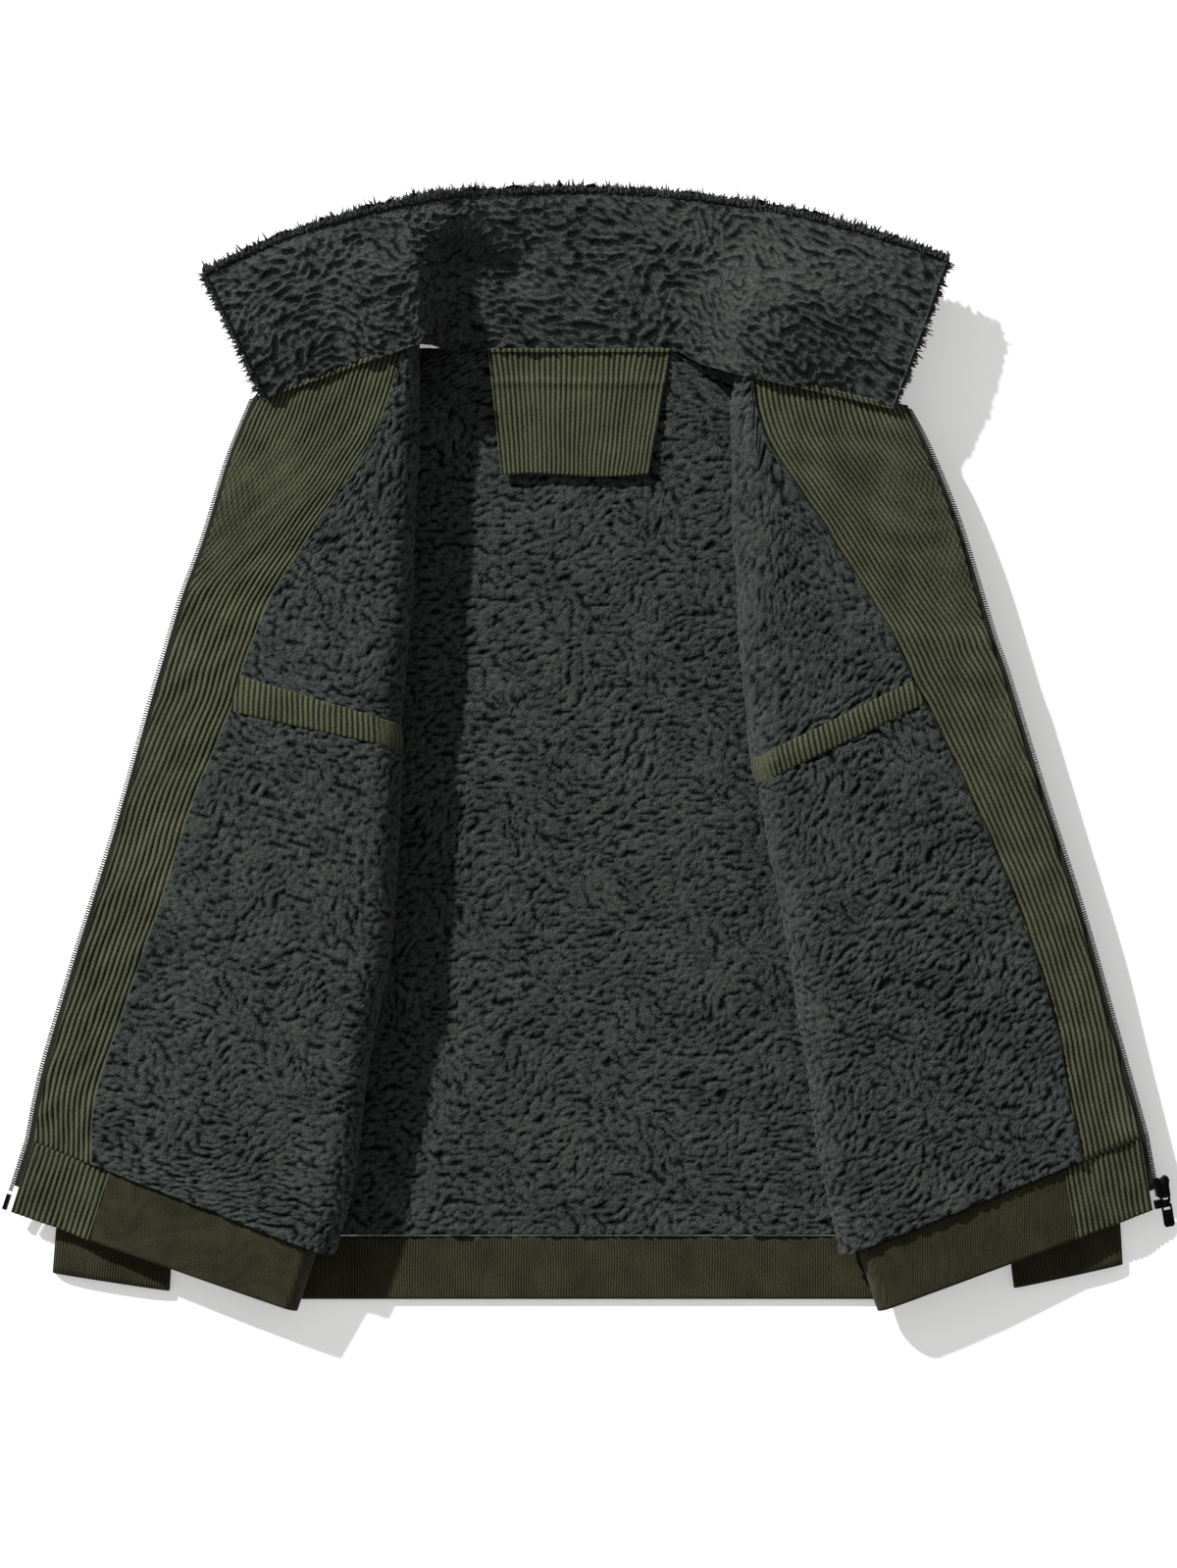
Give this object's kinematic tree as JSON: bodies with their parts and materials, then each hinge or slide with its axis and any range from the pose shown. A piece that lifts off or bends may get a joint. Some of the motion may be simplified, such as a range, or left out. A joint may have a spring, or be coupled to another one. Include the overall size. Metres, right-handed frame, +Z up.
{
  "type": "sherpa-lined corduroy jacket",
  "caption": "Corduroy zip jacket with fleece lining and collar, laid on its back with both fronts turned back to show the inside.",
  "frame": {"origin": "on the surface it lies on, under the middle of the back", "axes": "+Z up out of the back, +Y towards the collar, +X to the picture's right"},
  "size_m": [0.8376, 0.8008, 0.0525],
  "materials": {
    "corduroy": "wide-wale corduroy, olive",
    "fleece": "curly fleece, dark charcoal green",
    "rib": "rib knit, dark olive",
    "tape": "woven zip tape",
    "zip": "black satin metal"
  },
  "bodies": {
    "root": {"back_lining": "fleece", "back_shell": "corduroy", "collar_top": "fleece", "collar_under": "corduroy", "cuff_left": "rib", "cuff_right": "rib", "facing_left": "corduroy", "facing_right": "corduroy", "front_lining_lower_left": "fleece", "front_lining_lower_right": "fleece", "front_lining_upper_left": "fleece", "front_lining_upper_right": "fleece", "front_shell_left": "corduroy", "front_shell_right": "corduroy", "hem_rib_back": "rib", "hem_rib_left": "rib", "hem_rib_right": "rib", "hem_tab_left": "corduroy", "hem_tab_right": "corduroy", "neck_patch": "corduroy", "pocket_welt_left": "corduroy", "pocket_welt_right": "corduroy", "sleeve_left": "corduroy", "sleeve_right": "corduroy", "zip_box": "zip", "zip_chain_left": "zip", "zip_chain_right": "zip", "zip_pin_left": "zip", "zip_slider": "zip", "zip_tape_left": "tape", "zip_tape_right": "tape"},
    "pull": {"zip_pull": "zip"}
  },
  "joints": [
    {"name": "pull_swing", "type": "hinge", "parent": "root", "child": "pull", "pos_m": [0.41006, -0.31657, 0.02179], "axis": [-0.9812, -0.1931, 0], "range_deg": [0, 130]}
  ]
}
